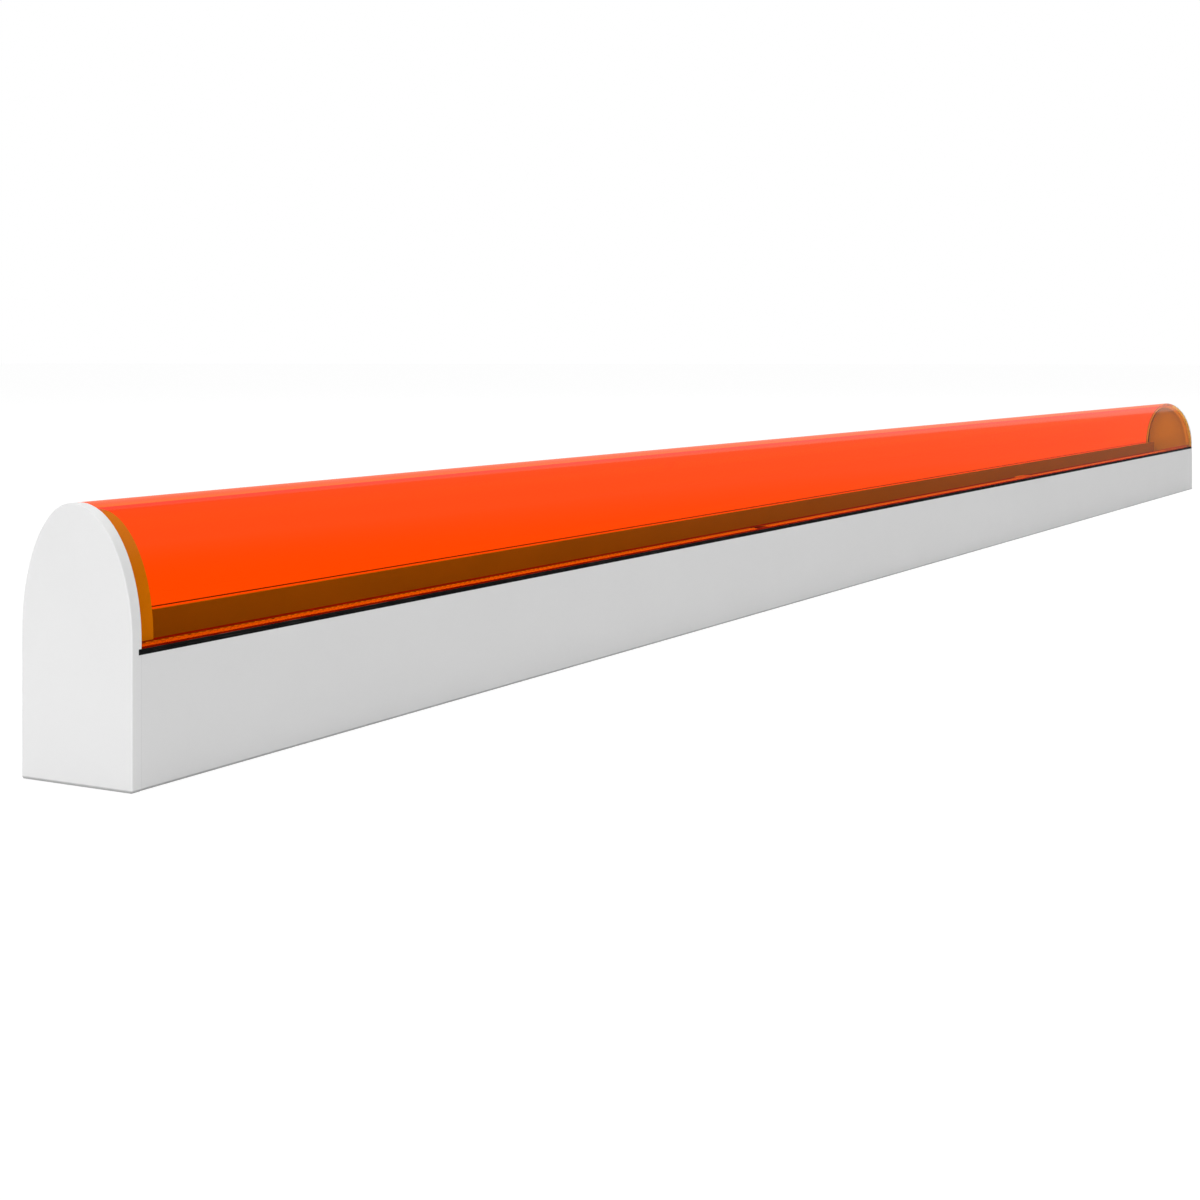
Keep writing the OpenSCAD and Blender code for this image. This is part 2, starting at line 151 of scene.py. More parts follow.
class StageSettings(PropertyGroup):
    """Camera, floor and lights."""

    camera_place: FloatVectorProperty(
        name="Camera place", description="Where the camera stands",
        default=(-1.1711, -0.4072, 0.1264), subtype="XYZ", unit="LENGTH", size=3)
    camera_heading: FloatProperty(
        name="Camera heading", description="Way the level camera looks, from +X towards +Y",
        default=math.radians(28.63), subtype="ANGLE")
    camera_lens: FloatProperty(
        name="Camera lens", description="Focal length in millimetres", default=57.06)
    camera_shift: FloatProperty(
        name="Camera shift", description="Shift that keeps uprights upright",
        default=-0.1996)
    overhead_power: FloatProperty(
        name="Overhead power", description="Watts of the overhead softbox", default=100.0)
    left_power: FloatProperty(
        name="Left power", description="Watts of the softbox beyond the left end", default=45.0)
    room_light: FloatProperty(
        name="Room light", description="Brightness of the room on the bar", default=0.34)
    room_left: FloatProperty(
        name="Room's left light", description="Extra brightness of the room's left side",
        default=0.2)


# ---------------------------------------------------------------- node helpers


def add(tree, kind, **inputs):
    """Adds a node, and sets or links its inputs by their names with _ for a space."""
    node = tree.nodes.new(kind)
    for name, value in inputs.items():
        feed(tree, node.inputs[name.replace("_", " ")], value)
    return node


def feed(tree, socket, value):
    if isinstance(value, bpy.types.NodeSocket):
        tree.links.new(value, socket)
    else:
        socket.default_value = value


def math_node(tree, operation, *values):
    node = tree.nodes.new("ShaderNodeMath")
    node.operation = operation
    for socket, value in zip(node.inputs, values):
        feed(tree, socket, value)
    return node.outputs[0]


def mix_colours(tree, factor, low, high):
    node = tree.nodes.new("ShaderNodeMix")
    node.data_type = "RGBA"
    feed(tree, node.inputs["Factor"], factor)
    feed(tree, node.inputs[6], low if isinstance(low, bpy.types.NodeSocket) else (*low, 1))
    feed(tree, node.inputs[7], high if isinstance(high, bpy.types.NodeSocket) else (*high, 1))
    return node.outputs[2]


def mix_values(tree, factor, low, high):
    node = tree.nodes.new("ShaderNodeMix")
    for socket, value in zip(node.inputs, (factor, None, low, high)):
        if value is not None:
            feed(tree, socket, value)
    return node.outputs[0]


def spread(tree, value, low, high, to_low=0.0, to_high=1.0):
    """Maps a value from one range to another."""
    node = tree.nodes.new("ShaderNodeMapRange")
    for socket, number in zip(node.inputs, (value, low, high, to_low, to_high)):
        feed(tree, socket, number)
    return node.outputs[0]


def object_place(tree):
    """A point's own place on its piece, as X, Y and Z."""
    place = tree.nodes.new("ShaderNodeTexCoord")
    return add(tree, "ShaderNodeSeparateXYZ", Vector=place.outputs["Object"]).outputs


def dot_product(tree, first, second):
    node = tree.nodes.new("ShaderNodeVectorMath")
    node.operation = "DOT_PRODUCT"
    feed(tree, node.inputs[0], first)
    feed(tree, node.inputs[1], second)
    return node.outputs["Value"]


def mix_shaders(tree, factor, first, second):
    node = add(tree, "ShaderNodeMixShader", Fac=factor)
    for socket, shader in zip(node.inputs[1:], (first, second)):
        if shader:
            tree.links.new(shader, socket)
    return node.outputs[0]


def new_group(name, kind, inputs, outputs):
    """A node group with named sockets, and its two end nodes."""
    group = bpy.data.node_groups.new(name, kind)
    for socket_name, (socket_type, default) in inputs.items():
        socket = group.interface.new_socket(socket_name, in_out="INPUT", socket_type=socket_type)
        if default is not None:
            socket.default_value = default
    for socket_name, socket_type in outputs.items():
        group.interface.new_socket(socket_name, in_out="OUTPUT", socket_type=socket_type)
    return group, group.nodes.new("NodeGroupInput"), group.nodes.new("NodeGroupOutput")


# ---------------------------------------------------------------- shared effects


def mottle_group():
    """Soft patches, for small changes of shade and gloss."""
    group, start, end = new_group(
        "Mottle", "ShaderNodeTree", {"Scale": ("NodeSocketFloat", 40.0)}, {"Mask": "NodeSocketFloat"})
    place = group.nodes.new("ShaderNodeTexCoord")
    noise = add(group, "ShaderNodeTexNoise", Vector=place.outputs["Object"],
                Scale=start.outputs["Scale"], Detail=4.0, Roughness=0.55)
    group.links.new(spread(group, noise.outputs["Fac"], 0.3, 0.7), end.inputs["Mask"])
    return group


def grain_group():
    """The fine pebble of moulded plastic and powder coat."""
    group, start, end = new_group(
        "Fine Grain", "ShaderNodeTree", {"Scale": ("NodeSocketFloat", 1500.0)},
        {"Height": "NodeSocketFloat"})
    place = group.nodes.new("ShaderNodeTexCoord")
    noise = add(group, "ShaderNodeTexNoise", Vector=place.outputs["Object"],
                Scale=start.outputs["Scale"], Detail=2.0, Roughness=0.6)
    cells = add(group, "ShaderNodeTexVoronoi", Vector=place.outputs["Object"],
                Scale=start.outputs["Scale"])
    cells.feature = "SMOOTH_F1"
    total = math_node(group, "ADD", noise.outputs["Fac"],
                      math_node(group, "MULTIPLY", cells.outputs["Distance"], 0.5))
    group.links.new(total, end.inputs["Height"])
    return group


def drawn_lines_group():
    """Faint lines along the bar, as an extrusion or a rolled sheet has."""
    group, start, end = new_group(
        "Drawn Lines", "ShaderNodeTree",
        {"Scale": ("NodeSocketFloat", 400.0), "Stretch": ("NodeSocketFloat", 0.01)},
        {"Mask": "NodeSocketFloat"})
    place = group.nodes.new("ShaderNodeTexCoord")
    across = add(group, "ShaderNodeCombineXYZ", X=start.outputs["Stretch"], Y=1.0, Z=1.0)
    moved = group.nodes.new("ShaderNodeVectorMath")
    moved.operation = "MULTIPLY"
    group.links.new(place.outputs["Object"], moved.inputs[0])
    group.links.new(across.outputs[0], moved.inputs[1])
    noise = add(group, "ShaderNodeTexNoise", Vector=moved.outputs[0],
                Scale=start.outputs["Scale"], Detail=3.0, Roughness=0.6)
    group.links.new(spread(group, noise.outputs["Fac"], 0.3, 0.7), end.inputs["Mask"])
    return group


def dust_group():
    """Dust that settles in patches on faces that look up."""
    group, start, end = new_group(
        "Dust", "ShaderNodeTree", {"Amount": ("NodeSocketFloat", 0.2)}, {"Mask": "NodeSocketFloat"})
    place = group.nodes.new("ShaderNodeTexCoord")
    facing = group.nodes.new("ShaderNodeNewGeometry")
    parts = add(group, "ShaderNodeSeparateXYZ", Vector=facing.outputs["Normal"])
    noise = add(group, "ShaderNodeTexNoise", Vector=place.outputs["Object"], Scale=90.0, Detail=6.0)
    up = spread(group, parts.outputs["Z"], 0.4, 1.0)
    patches = spread(group, noise.outputs["Fac"], 0.45, 0.75)
    both = math_node(group, "MULTIPLY", up, patches)
    group.links.new(math_node(group, "MULTIPLY", both, start.outputs["Amount"]), end.inputs["Mask"])
    return group


def edge_wear_group():
    """A mask along outside edges: on metal where handling polishes them, on the end caps for a painted
    highlight.
    """
    group, start, end = new_group(
        "Edge Wear And Highlight", "ShaderNodeTree",
        {"Radius": ("NodeSocketFloat", 0.5 * MM), "Amount": ("NodeSocketFloat", 1.0)},
        {"Mask": "NodeSocketFloat"})
    facing = group.nodes.new("ShaderNodeNewGeometry")
    rounded = add(group, "ShaderNodeBevel", Radius=start.outputs["Radius"])
    rounded.samples = 4
    edge = spread(group, dot_product(group, facing.outputs["Normal"], rounded.outputs["Normal"]), 1.0, 0.85)
    group.links.new(math_node(group, "MULTIPLY", edge, start.outputs["Amount"]), end.inputs["Mask"])
    return group


EFFECTS = {
    "Mottle": mottle_group,
    "Fine Grain": grain_group,
    "Drawn Lines": drawn_lines_group,
    "Dust": dust_group,
    "Edge Wear And Highlight": edge_wear_group,
}


def effect(tree, name, **values):
    """Places a shared effect in a material and returns its output."""
    group = bpy.data.node_groups.get(name) or EFFECTS[name]()
    node = tree.nodes.new("ShaderNodeGroup")
    node.node_tree = group
    for socket, value in values.items():
        node.inputs[socket].default_value = value
    return node.outputs[0]


# ---------------------------------------------------------------- materials


def blank_material(name):
    material = bpy.data.materials.new(name)
    material.use_nodes = True
    tree = material.node_tree
    return material, tree, tree.nodes["Principled BSDF"]


def bump(tree, shader, height, distance, strength=1.0):
    node = add(tree, "ShaderNodeBump", Height=height, Distance=distance, Strength=strength)
    tree.links.new(node.outputs["Normal"], shader.inputs["Normal"])


def shaded(colour, factor):
    return tuple(min(1.0, c * factor) for c in colour)


def moulded(name, colour, gloss=(0.4, 0.55), grain=1800.0, depth=0.01 * MM, patch=60.0, change=0.94):
    """Moulded or painted finish: patchy shade and gloss over a fine pebble."""
    material, tree, shader = blank_material(name)
    mask = effect(tree, "Mottle", Scale=patch)
    base = mix_colours(tree, mask, shaded(colour, change), colour)
    dusty = mix_colours(tree, effect(tree, "Dust", Amount=0.12), base, (0.55, 0.52, 0.48))
    tree.links.new(dusty, shader.inputs["Base Color"])
    tree.links.new(spread(tree, mask, 0, 1, *gloss), shader.inputs["Roughness"])
    bump(tree, shader, effect(tree, "Fine Grain", Scale=grain), depth)
    return material


def drawn_metal(name, colour, gloss=(0.25, 0.42), lines=900.0, metallic=1.0):
    """Rolled, drawn or turned metal with fine lines, and edges that handling has polished brighter."""
    material, tree, shader = blank_material(name)
    shader.inputs["Metallic"].default_value = metallic
    mask = effect(tree, "Drawn Lines", Scale=lines, Stretch=0.05)
    base = mix_colours(tree, mask, shaded(colour, 0.82), colour)
    wear_and_highlight = mix_colours(tree, effect(tree, "Edge Wear And Highlight", Radius=0.3 * MM), base, shaded(colour, 1.25))
    tree.links.new(wear_and_highlight, shader.inputs["Base Color"])
    tree.links.new(spread(tree, mask, 0, 1, *gloss), shader.inputs["Roughness"])
    bump(tree, shader, mask, 0.004 * MM)
    return material


def low_edge(tree):
    """Painted shade: a mask that darkens the edge where the bar meets its floor."""
    return spread(tree, object_place(tree)["Z"], 1.0 * MM, 0.5 * MM)


def channel_paint(settings):
    """White powder coat outside and along the floor, bare metal inside, and painted shade along the bottom
    edge.
    """
    material, tree, shader = blank_material("channel_paint")
    place = object_place(tree)
    across = math_node(tree, "ABSOLUTE", place["Y"])
    within = math_node(tree, "LESS_THAN", across, HALF_WIDTH - 0.5 * MM)
    above = math_node(tree, "GREATER_THAN", place["Z"], 0.6 * MM)
    inside = math_node(tree, "MULTIPLY", within, above)
    mask = effect(tree, "Mottle", Scale=25.0)
    lines = effect(tree, "Drawn Lines", Scale=500.0, Stretch=0.01)
    coat = mix_colours(tree, mask, shaded(settings.paint, 0.985), settings.paint)
    # painted shade: the coat turns grey along the bottom edge, where the bar meets the floor
    paint = mix_colours(tree, low_edge(tree), coat, (0.40, 0.40, 0.40))
    metal = mix_colours(tree, lines, shaded(settings.bare_inside, 0.85), settings.bare_inside)
    tree.links.new(mix_colours(tree, inside, paint, metal), shader.inputs["Base Color"])
    tree.links.new(spread(tree, lines, 0, 1, 0.42, 0.5), shader.inputs["Roughness"])
    pebble = effect(tree, "Fine Grain", Scale=1300.0)
    height = math_node(tree, "ADD", pebble, math_node(tree, "MULTIPLY", lines, 0.6))
    bump(tree, shader, height, 0.008 * MM)
    return material


def cap_masks(tree):
    """Masks for painted shade: the inside of a cap, and a band on the inside of its lip that is painted
    black.
    """
    sizes = bpy.context.scene.bar_sizes
    place = object_place(tree)
    along = math_node(tree, "ABSOLUTE", place["X"])
    inner = math_node(tree, "LESS_THAN", along, LENS_HIGH.x + 0.1 * MM)
    y = math_node(tree, "SUBTRACT", place["Y"], sizes.crown_back)
    z = math_node(tree, "SUBTRACT", place["Z"], sizes.spring_height)
    out = add(tree, "ShaderNodeCombineXYZ", X=0.0, Y=y, Z=z)
    facing = tree.nodes.new("ShaderNodeNewGeometry")
    outward = dot_product(tree, facing.outputs["Normal"], out.outputs[0])
    inward = math_node(tree, "LESS_THAN", outward, -4 * MM)
    edge = math_node(tree, "LESS_THAN", along, LENS_HIGH.x - 4 * MM)
    high = math_node(tree, "GREATER_THAN", place["Z"], LENS_LOW.z)
    lip_shade = math_node(tree, "MULTIPLY", inward, edge)
    return inner, math_node(tree, "MULTIPLY", lip_shade, high)


def cap_plastic(settings):
    """White moulded plastic with a fine spark-eroded texture, a painted highlight along its outer edges,
    painted shade along its bottom edge, and painted shade on its inside and lip.
    """
    material, tree, shader = blank_material("cap_plastic")
    mask = effect(tree, "Mottle", Scale=30.0)
    base = mix_colours(tree, mask, shaded(settings.cap, 0.985), settings.cap)
    # painted highlight: the cap's outer edges turn white where they are rounded
    wear_and_highlight = mix_colours(tree, effect(tree, "Edge Wear And Highlight", Radius=0.35 * MM, Amount=0.8), base, (1, 1, 1))
    # painted shade: the cap turns grey along its bottom edge, where it meets the floor
    outside = mix_colours(tree, low_edge(tree), wear_and_highlight, (0.45, 0.45, 0.45))
    inner, lip_shade = cap_masks(tree)
    # painted shade: the inside of the cap is painted darker than its outside
    plain = mix_colours(tree, inner, outside, shaded(settings.cap, 0.8))
    # painted shade: a band on the inside of the lip is painted black
    tree.links.new(mix_colours(tree, lip_shade, plain, settings.rubber), shader.inputs["Base Color"])
    tree.links.new(spread(tree, mask, 0, 1, 0.46, 0.56), shader.inputs["Roughness"])
    bump(tree, shader, effect(tree, "Fine Grain", Scale=1600.0), 0.01 * MM)
    return material


def foot_mask(tree):
    """The lens's two feet, where light has more acrylic to cross."""
    sizes = bpy.context.scene.bar_sizes
    foot_top = LENS_LOW.z + sizes.foot_height + 0.02 * MM
    return math_node(tree, "LESS_THAN", object_place(tree)["Z"], foot_top)


def thicker(colour, times):
    """The tint of so many times the thickness."""
    return tuple(c ** times for c in colour)


def acrylic_tint(tree, settings, lines, facing):
    """The lens's tint, deeper where it is seen at a slant, at the crown and in the feet."""
    wall = mix_colours(tree, lines, shaded(settings.lens, 0.99), settings.lens)
    slant = math_node(tree, "POWER", facing.outputs["Facing"], 16.0)
    crown = spread(tree, object_place(tree)["Z"], LENS_HIGH.z - 3.0 * MM, LENS_HIGH.z - 1.5 * MM)
    long_way = math_node(tree, "MAXIMUM", slant, crown)
    slanted = mix_colours(tree, long_way, wall, thicker(settings.lens, 1.9))
    return mix_colours(tree, foot_mask(tree), slanted, thicker(settings.lens, 1.6))


def tinted_acrylic(name, settings, gloss_level):
    """Orange acrylic: each face tints what is seen through it and adds its own gloss."""
    material, tree, shader = blank_material(name)
    tree.nodes.remove(shader)
    lines = effect(tree, "Drawn Lines", Scale=260.0, Stretch=0.004)
    facing = add(tree, "ShaderNodeLayerWeight", Blend=0.5)
    tint = acrylic_tint(tree, settings, lines, facing)
    clear = add(tree, "ShaderNodeBsdfTransparent", Color=tint)
    gloss = add(tree, "ShaderNodeBsdfGlossy", Color=(1, 1, 1, 1))
    smears = effect(tree, "Mottle", Scale=35.0)
    tree.links.new(spread(tree, smears, 0, 1, 0.03, 0.08), gloss.inputs["Roughness"])
    bump(tree, gloss, lines, 0.004 * MM)
    grazing = math_node(tree, "POWER", facing.outputs["Facing"], 5.0)
    strength = spread(tree, grazing, 0, 1, 0.08 * gloss_level, gloss_level)
    total = tree.nodes.new("ShaderNodeAddShader")
    tree.links.new(clear.outputs[0], total.inputs[0])
    tree.links.new(mix_shaders(tree, strength, None, gloss.outputs[0]), total.inputs[1])
    tree.links.new(total.outputs[0], tree.nodes["Material Output"].inputs["Surface"])
    return material


def lens_acrylic(settings):
    """The lens's outside, which has the gloss."""
    return tinted_acrylic("lens_acrylic", settings, 0.45)


def lens_inside(settings):
    """The lens's inside, almost without gloss."""
    return tinted_acrylic("lens_inside", settings, 0.06)


def black_rubber(settings):
    material = moulded("black_rubber", settings.rubber, (0.6, 0.8), 1200.0, 0.015 * MM, 120.0, 0.6)
    material.node_tree.nodes["Principled BSDF"].inputs["Specular IOR Level"].default_value = 0.12
    return material


def end_foam(_settings):
    return moulded("end_foam", (0.82, 0.82, 0.80), (0.8, 0.9), 2500.0, 0.05 * MM, 300.0, 0.92)


def zinc_steel(_settings):
    return drawn_metal("zinc_steel", (0.62, 0.62, 0.64))


def tray_coat(_settings):
    return moulded("tray_coat", (0.47, 0.39, 0.36), (0.35, 0.5), 1500.0, 0.012 * MM, 30.0, 0.92)


def thermal_pad(_settings):
    return moulded("thermal_pad", (0.5, 0.5, 0.52), (0.7, 0.85), 2200.0, 0.02 * MM, 200.0, 0.8)


def solder_mask_white(_settings):
    """White board lacquer, with the copper lines under it showing faintly."""
    material, tree, shader = blank_material("solder_mask_white")
    across = math_node(tree, "ABSOLUTE", object_place(tree)["Y"])
    outer = math_node(tree, "COMPARE", across, 3.5 * MM, 0.3 * MM)
    inner = math_node(tree, "COMPARE", across, 2.4 * MM, 0.3 * MM)
    copper = math_node(tree, "MAXIMUM", outer, inner)
    mask = effect(tree, "Mottle", Scale=80.0)
    lacquer = mix_colours(tree, mask, (0.76, 0.76, 0.70), (0.84, 0.84, 0.79))
    tree.links.new(mix_colours(tree, copper, lacquer, (0.70, 0.66, 0.52)), shader.inputs["Base Color"])
    tree.links.new(spread(tree, mask, 0, 1, 0.3, 0.4), shader.inputs["Roughness"])
    bump(tree, shader, copper, 0.03 * MM)
    return material


def chip_body(_settings):
    return moulded("chip_body", (0.90, 0.34, 0.05), (0.35, 0.45), 4000.0, 0.004 * MM, 700.0, 0.9)


def chip_phosphor(settings):
    return moulded("chip_phosphor", settings.phosphor, (0.15, 0.25), 5000.0, 0.004 * MM, 900.0, 0.8)


def tinned_pad(_settings):
    return drawn_metal("tinned_pad", (0.72, 0.71, 0.68), (0.3, 0.5), 2500.0)


def resistor_black(_settings):
    return moulded("resistor_black", (0.02, 0.02, 0.025), (0.3, 0.45), 3000.0, 0.004 * MM, 500.0, 0.7)


def nylon_white(_settings):
    return moulded("nylon_white", (0.78, 0.76, 0.69), (0.38, 0.5), 1700.0, 0.01 * MM, 90.0, 0.95)


def driver_grey(_settings):
    return moulded("driver_grey", (0.50, 0.51, 0.53), (0.45, 0.6), 1300.0, 0.02 * MM, 50.0, 0.92)


def lid_grey(_settings):
    return moulded("lid_grey", (0.24, 0.24, 0.26), (0.45, 0.6), 1300.0, 0.02 * MM, 50.0, 0.9)


def circuit_green(_settings):
    return moulded("circuit_green", (0.02, 0.16, 0.06), (0.25, 0.4), 900.0, 0.02 * MM, 140.0, 0.6)


def turned_brass(_settings):
    return drawn_metal("turned_brass", (0.78, 0.56, 0.24))


def insulation(name, colour):
    """Satin wire insulation."""
    return moulded(name, colour, (0.35, 0.5), 2600.0, 0.008 * MM, 150.0, 0.85)


def wire_brown(_settings):
    return insulation("wire_brown", (0.16, 0.05, 0.02))


def wire_blue(_settings):
    return insulation("wire_blue", (0.02, 0.09, 0.42))


def wire_green(_settings):
    """Green insulation with a yellow stripe."""
    material = insulation("wire_green", (0.02, 0.20, 0.04))
    tree = material.node_tree
    shader = tree.nodes["Principled BSDF"]
    turn = math_node(tree, "FRACT", math_node(tree, "DIVIDE", object_place(tree)["Z"], 1.6 * MM))
    stripe = math_node(tree, "GREATER_THAN", turn, 0.5)
    green = shader.inputs["Base Color"].links[0].from_socket
    tree.links.new(mix_colours(tree, stripe, green, (0.75, 0.60, 0.03)), shader.inputs["Base Color"])
    return material


def wire_red(_settings):
    return insulation("wire_red", (0.40, 0.015, 0.015))


def wire_black(_settings):
    return insulation("wire_black", (0.015, 0.015, 0.015))


def finish(maker):
    """The material that maker makes, made once."""
    return bpy.data.materials.get(maker.__name__) or maker(bpy.context.scene.bar_finish)


# ---------------------------------------------------------------- mesh helpers


def add_piece(name, mesh, smooth=35.0):
    """Links a mesh as an object at the origin, smooth where it curves and flat where it's flat."""
    mesh.name = name
    mesh.polygons.foreach_set("use_smooth", [True] * len(mesh.polygons))
    mesh.set_sharp_from_angle(angle=math.radians(smooth))
    piece = bpy.data.objects.new(name, mesh)
    bpy.context.scene.collection.objects.link(piece)
    weights = piece.modifiers.new("weights", "WEIGHTED_NORMAL")
    weights.keep_sharp = True
    plain_mesh(piece).name = name
    return piece


def dress(piece, *makers):
    """Gives a piece or a mesh the named finishes and no others."""
    mesh = getattr(piece, "data", piece)
    mesh.materials.clear()
    for maker in makers:
        mesh.materials.append(finish(maker))


def settle(piece, nodes):
    """Says which body a piece rides on, which nodes it stands for."""
    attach(piece, BODY)
    if nodes:
        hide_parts(*nodes)
    return piece


def plain_mesh(piece):
    """Applies a piece's modifiers to its mesh."""
    graph = bpy.context.evaluated_depsgraph_get()
    mesh = bpy.data.meshes.new_from_object(piece.evaluated_get(graph))
    piece.modifiers.clear()
    old, piece.data = piece.data, mesh
    bpy.data.meshes.remove(old)
    return mesh


def merged_copy(node):
    """A node's mesh with its triangles joined up and its flat faces whole."""
    shape = bmesh.new()
    shape.from_mesh(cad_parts[node].data)
    bmesh.ops.remove_doubles(shape, verts=shape.verts, dist=0.002 * MM)
    bmesh.ops.dissolve_limit(shape, angle_limit=math.radians(0.4), verts=shape.verts, edges=shape.edges)
    return shape


def round_edges(shape, picked, radius, segments=3):
    bmesh.ops.bevel(shape, geom=picked, offset=radius, segments=segments, profile=0.5,
                    affect="EDGES", clamp_overlap=False)


def sharp_edges(shape, least=math.radians(40)):
    return [e for e in shape.edges if e.is_manifold and e.calc_face_angle(0) > least]


def to_mesh(shape, name):
    mesh = bpy.data.meshes.new(name)
    shape.to_mesh(mesh)
    shape.free()
    return mesh


def finished_node(node, maker, edge=0.0, segments=2):
    """A node's own shape with rounded edges and its finish."""
    shape = merged_copy(node)
    if edge:
        round_edges(shape, sharp_edges(shape), edge, segments)
    piece = add_piece(f"{node}_finished", to_mesh(shape, node))
    dress(piece, maker)
    return settle(piece, [node])


def flat_outline(points, x):
    """A flat face in the plane across the bar at x, facing along the bar."""
    shape = bmesh.new()
    face = shape.faces.new([shape.verts.new((x, y, z)) for y, z in points])
    face.normal_update()
    if face.normal.x < 0:
        face.normal_flip()
    return to_mesh(shape, "outline")


# ---------------------------------------------------------------- geometry trees


def extrusion_tree():
    """Runs a flat outline along the bar and closes it."""
    group, start, end = new_group(
        "Extrusion", "GeometryNodeTree",
        {"Outline": ("NodeSocketGeometry", None), "Length": ("NodeSocketFloat", 1.0),
         "Material": ("NodeSocketMaterial", None)},
        {"Piece": "NodeSocketGeometry"})
    away = add(group, "ShaderNodeCombineXYZ", X=start.outputs["Length"])
    pulled = add(group, "GeometryNodeExtrudeMesh", Mesh=start.outputs["Outline"],
                 Offset=away.outputs[0], Offset_Scale=1.0, Individual=False)
    back = add(group, "GeometryNodeFlipFaces", Mesh=start.outputs["Outline"])
    both = group.nodes.new("GeometryNodeJoinGeometry")
    group.links.new(pulled.outputs["Mesh"], both.inputs[0])
    group.links.new(back.outputs["Mesh"], both.inputs[0])
    closed = add(group, "GeometryNodeMergeByDistance", Geometry=both.outputs[0], Distance=0.001 * MM)
    solid = add(group, "GeometryNodeRealizeInstances", Geometry=closed.outputs[0])
    dressed = add(group, "GeometryNodeSetMaterial", Geometry=solid.outputs[0],
                  Material=start.outputs["Material"])
    group.links.new(dressed.outputs[0], end.inputs["Piece"])
    return group


def block_row_tree():
    """A row of equal chamfered blocks at one pitch, such as chips, pads or ribs."""
    group, start, end = new_group(
        "Block Row", "GeometryNodeTree",
        {"Geometry": ("NodeSocketGeometry", None), "Count": ("NodeSocketInt", 10),
         "Pitch": ("NodeSocketFloat", 1.0), "First": ("NodeSocketVector", None),
         "Size": ("NodeSocketVector", None), "Top": ("NodeSocketFloat", 0.85),
         "Material": ("NodeSocketMaterial", None)},
        {"Row": "NodeSocketGeometry"})
    step = add(group, "ShaderNodeCombineXYZ", X=start.outputs["Pitch"])
    points = add(group, "GeometryNodeMeshLine", Count=start.outputs["Count"],
                 Start_Location=start.outputs["First"], Offset=step.outputs[0])
    block = add(group, "GeometryNodeMeshCube", Size=start.outputs["Size"])
    place = group.nodes.new("GeometryNodeInputPosition")
    height = add(group, "ShaderNodeSeparateXYZ", Vector=place.outputs[0])
    is_top = math_node(group, "GREATER_THAN", height.outputs["Z"], 0.0)
    less = math_node(group, "SUBTRACT", start.outputs["Top"], 1.0)
    narrow = math_node(group, "MULTIPLY_ADD", is_top, less, 1.0)
    scale = add(group, "ShaderNodeCombineXYZ", X=narrow, Y=narrow, Z=1.0)
    shrunk = group.nodes.new("ShaderNodeVectorMath")
    shrunk.operation = "MULTIPLY"
    group.links.new(place.outputs[0], shrunk.inputs[0])
    group.links.new(scale.outputs[0], shrunk.inputs[1])
    tapered = add(group, "GeometryNodeSetPosition", Geometry=block.outputs["Mesh"],
                  Position=shrunk.outputs[0])
    row = add(group, "GeometryNodeInstanceOnPoints", Points=points.outputs[0],
              Instance=tapered.outputs[0])
    solid = add(group, "GeometryNodeRealizeInstances", Geometry=row.outputs[0])
    dressed = add(group, "GeometryNodeSetMaterial", Geometry=solid.outputs[0],
                  Material=start.outputs["Material"])
    group.links.new(dressed.outputs[0], end.inputs["Row"])
    return group


def disc_row_tree():
    """A row of low round domes at one pitch, such as the chips' faces or screw heads."""
    group, start, end = new_group(
        "Disc Row", "GeometryNodeTree",
        {"Geometry": ("NodeSocketGeometry", None), "Count": ("NodeSocketInt", 10),
         "Pitch": ("NodeSocketFloat", 1.0), "First": ("NodeSocketVector", None),
         "Radius": ("NodeSocketFloat", 1.0), "Height": ("NodeSocketFloat", 0.1),
         "Material": ("NodeSocketMaterial", None)},
        {"Row": "NodeSocketGeometry"})
    step = add(group, "ShaderNodeCombineXYZ", X=start.outputs["Pitch"])
    points = add(group, "GeometryNodeMeshLine", Count=start.outputs["Count"],
                 Start_Location=start.outputs["First"], Offset=step.outputs[0])
    top = math_node(group, "MULTIPLY", start.outputs["Radius"], 0.8)
    disc = add(group, "GeometryNodeMeshCone", Vertices=10, Radius_Bottom=start.outputs["Radius"],
               Radius_Top=top, Depth=start.outputs["Height"])
    row = add(group, "GeometryNodeInstanceOnPoints", Points=points.outputs[0],
              Instance=disc.outputs["Mesh"])
    solid = add(group, "GeometryNodeRealizeInstances", Geometry=row.outputs[0])
    dressed = add(group, "GeometryNodeSetMaterial", Geometry=solid.outputs[0],
                  Material=start.outputs["Material"])
    group.links.new(dressed.outputs[0], end.inputs["Row"])
    return group


TREES = {"Extrusion": extrusion_tree, "Block Row": block_row_tree, "Disc Row": disc_row_tree}


def grown_mesh(tree_name, base, **values):
    """Runs a geometry tree on a base mesh and returns the plain mesh that it makes."""
    tree = bpy.data.node_groups.get(tree_name) or TREES[tree_name]()
    holder = bpy.data.objects.new("grown", base)
    bpy.context.scene.collection.objects.link(holder)
    modifier = holder.modifiers.new(tree_name, "NODES")
    modifier.node_group = tree
    sockets = {s.name: s.identifier for s in tree.interface.items_tree if s.item_type == "SOCKET"}
    for name, value in values.items():
        modifier[sockets[name]] = value
    mesh = plain_mesh(holder)
    bpy.data.objects.remove(holder)
    return mesh


